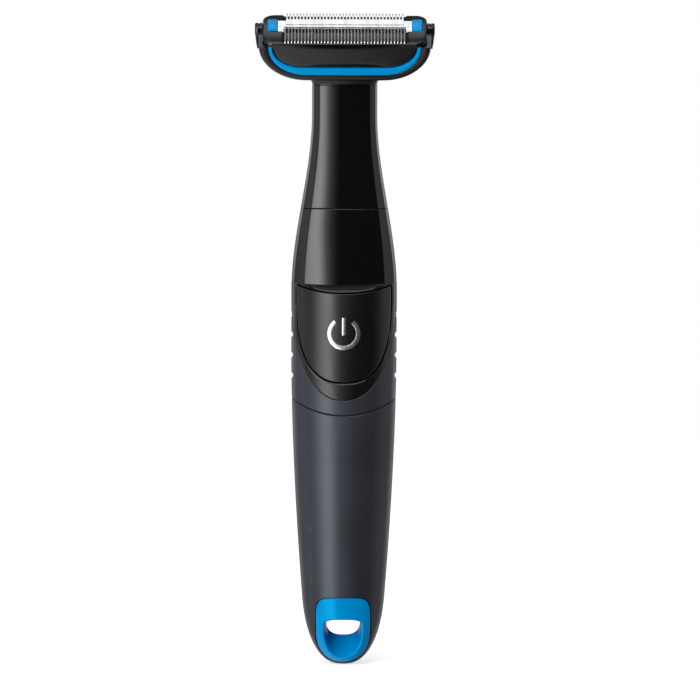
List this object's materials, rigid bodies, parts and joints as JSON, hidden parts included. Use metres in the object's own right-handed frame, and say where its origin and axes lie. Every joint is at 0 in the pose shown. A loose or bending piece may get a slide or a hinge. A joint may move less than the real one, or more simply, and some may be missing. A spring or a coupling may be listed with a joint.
{
  "type": "body groomer",
  "caption": "Slim battery body groomer with a wide trimming cassette tilted on a faceted neck, a shield-shaped power button and a hanging loop in the tail.",
  "frame": {"origin": "bottom centre of the whole object's box, under the rounded tail", "axes": "+Z from the tail to the trimming head, -Y out of the front with the button, +X to the right seen from the front"},
  "size_m": [0.05, 0.0288, 0.1824],
  "materials": {
    "slate_plastic": "fine satin moulded plastic",
    "blue_plastic": "smooth semi-gloss moulded plastic",
    "gloss_black": "polished moulded plastic",
    "satin_black": "satin moulded plastic",
    "semi_gloss_black": "smooth semi-gloss moulded plastic",
    "inner_plastic": "plain moulded plastic",
    "drive_plastic": "natural acetal",
    "seal_rubber": "matt silicone",
    "silver_print": "silver hot-stamped symbol",
    "blade_steel": "ground stainless steel",
    "motor_steel": "nickel-plated steel",
    "spring_steel": "drawn spring wire",
    "contact_brass": "bare brass",
    "battery_jacket": "printed film jacket over a steel can",
    "board_green": "solder-masked board",
    "chip_black": "moulded component bodies",
    "wire_red": "insulated wire"
  },
  "bodies": {
    "battery_cover": {"battery_cover": "slate_plastic", "loop_liner": "blue_plastic"},
    "handle": {"grip_shell": "slate_plastic", "collar_shell": "gloss_black", "button_bezel": "satin_black", "battery_carriage": "inner_plastic", "seal_ring": "seal_rubber", "battery_can": "battery_jacket", "battery_terminal": "contact_brass", "negative_spring": "spring_steel", "negative_strip": "spring_steel", "positive_contact": "contact_brass", "spigot_ring": "inner_plastic", "spigot_seal": "seal_rubber", "motor_can": "motor_steel", "motor_end_cap": "drive_plastic", "motor_holder": "inner_plastic", "motor_screws": "motor_steel", "motor_terminals": "contact_brass", "circuit_board": "board_green", "board_parts": "chip_black", "switch_body": "chip_black", "lead_wires": "wire_red", "shaft_boot": "seal_rubber", "button_seal": "seal_rubber"},
    "button": {"on_off_button": "satin_black", "power_symbol": "silver_print", "button_stem": "inner_plastic", "switch_plunger": "contact_brass"},
    "rotor": {"motor_shaft": "motor_steel", "eccentric": "drive_plastic"},
    "shaving_head": {"neck_front_shell": "gloss_black", "neck_rear_shell": "gloss_black", "lever_pin": "motor_steel", "head_cradle": "semi_gloss_black", "neck_cap": "semi_gloss_black", "blue_band": "blue_plastic", "front_apron": "gloss_black", "rear_apron": "gloss_black", "cassette_frame": "semi_gloss_black", "front_comb": "blade_steel", "rear_comb": "blade_steel", "cutter_guard": "blade_steel", "left_end_cap": "blue_plastic", "right_end_cap": "blue_plastic", "left_catch": "semi_gloss_black", "right_catch": "semi_gloss_black"},
    "lever": {"drive_lever": "drive_plastic"},
    "cutter": {"blade_carrier": "drive_plastic", "moving_blade": "blade_steel", "blade_springs": "spring_steel"}
  },
  "joints": [
    {"name": "cover_release", "type": "slide", "parent": "battery_cover", "child": "handle", "axis": [0, 0, 1], "range_m": [0, 0.056]},
    {"name": "button_press", "type": "slide", "parent": "handle", "child": "button", "axis": [0, 1, 0], "range_m": [0, 0.0008], "stiffness_N_per_m": 1200},
    {"name": "motor_spin", "type": "hinge", "parent": "handle", "child": "rotor", "pos_m": [0, 0.00112, 0.1187], "axis": [0, 0, 1], "continuous": true},
    {"name": "head_release", "type": "slide", "parent": "handle", "child": "shaving_head", "axis": [0, 0, 1], "range_m": [0, 0.02]},
    {"name": "lever_swing", "type": "hinge", "parent": "shaving_head", "child": "lever", "pos_m": [0, 0.00112, 0.1462], "axis": [0, 1, 0], "range_deg": [-2, 2]},
    {"name": "blade_slide", "type": "slide", "parent": "shaving_head", "child": "cutter", "axis": [1, 0, 0], "range_m": [-0.00092, 0.00092]}
  ],
  "couplings": [
    {"joint": "blade_slide", "follows": "lever_swing", "m_per_rad": 0.026055}
  ]
}
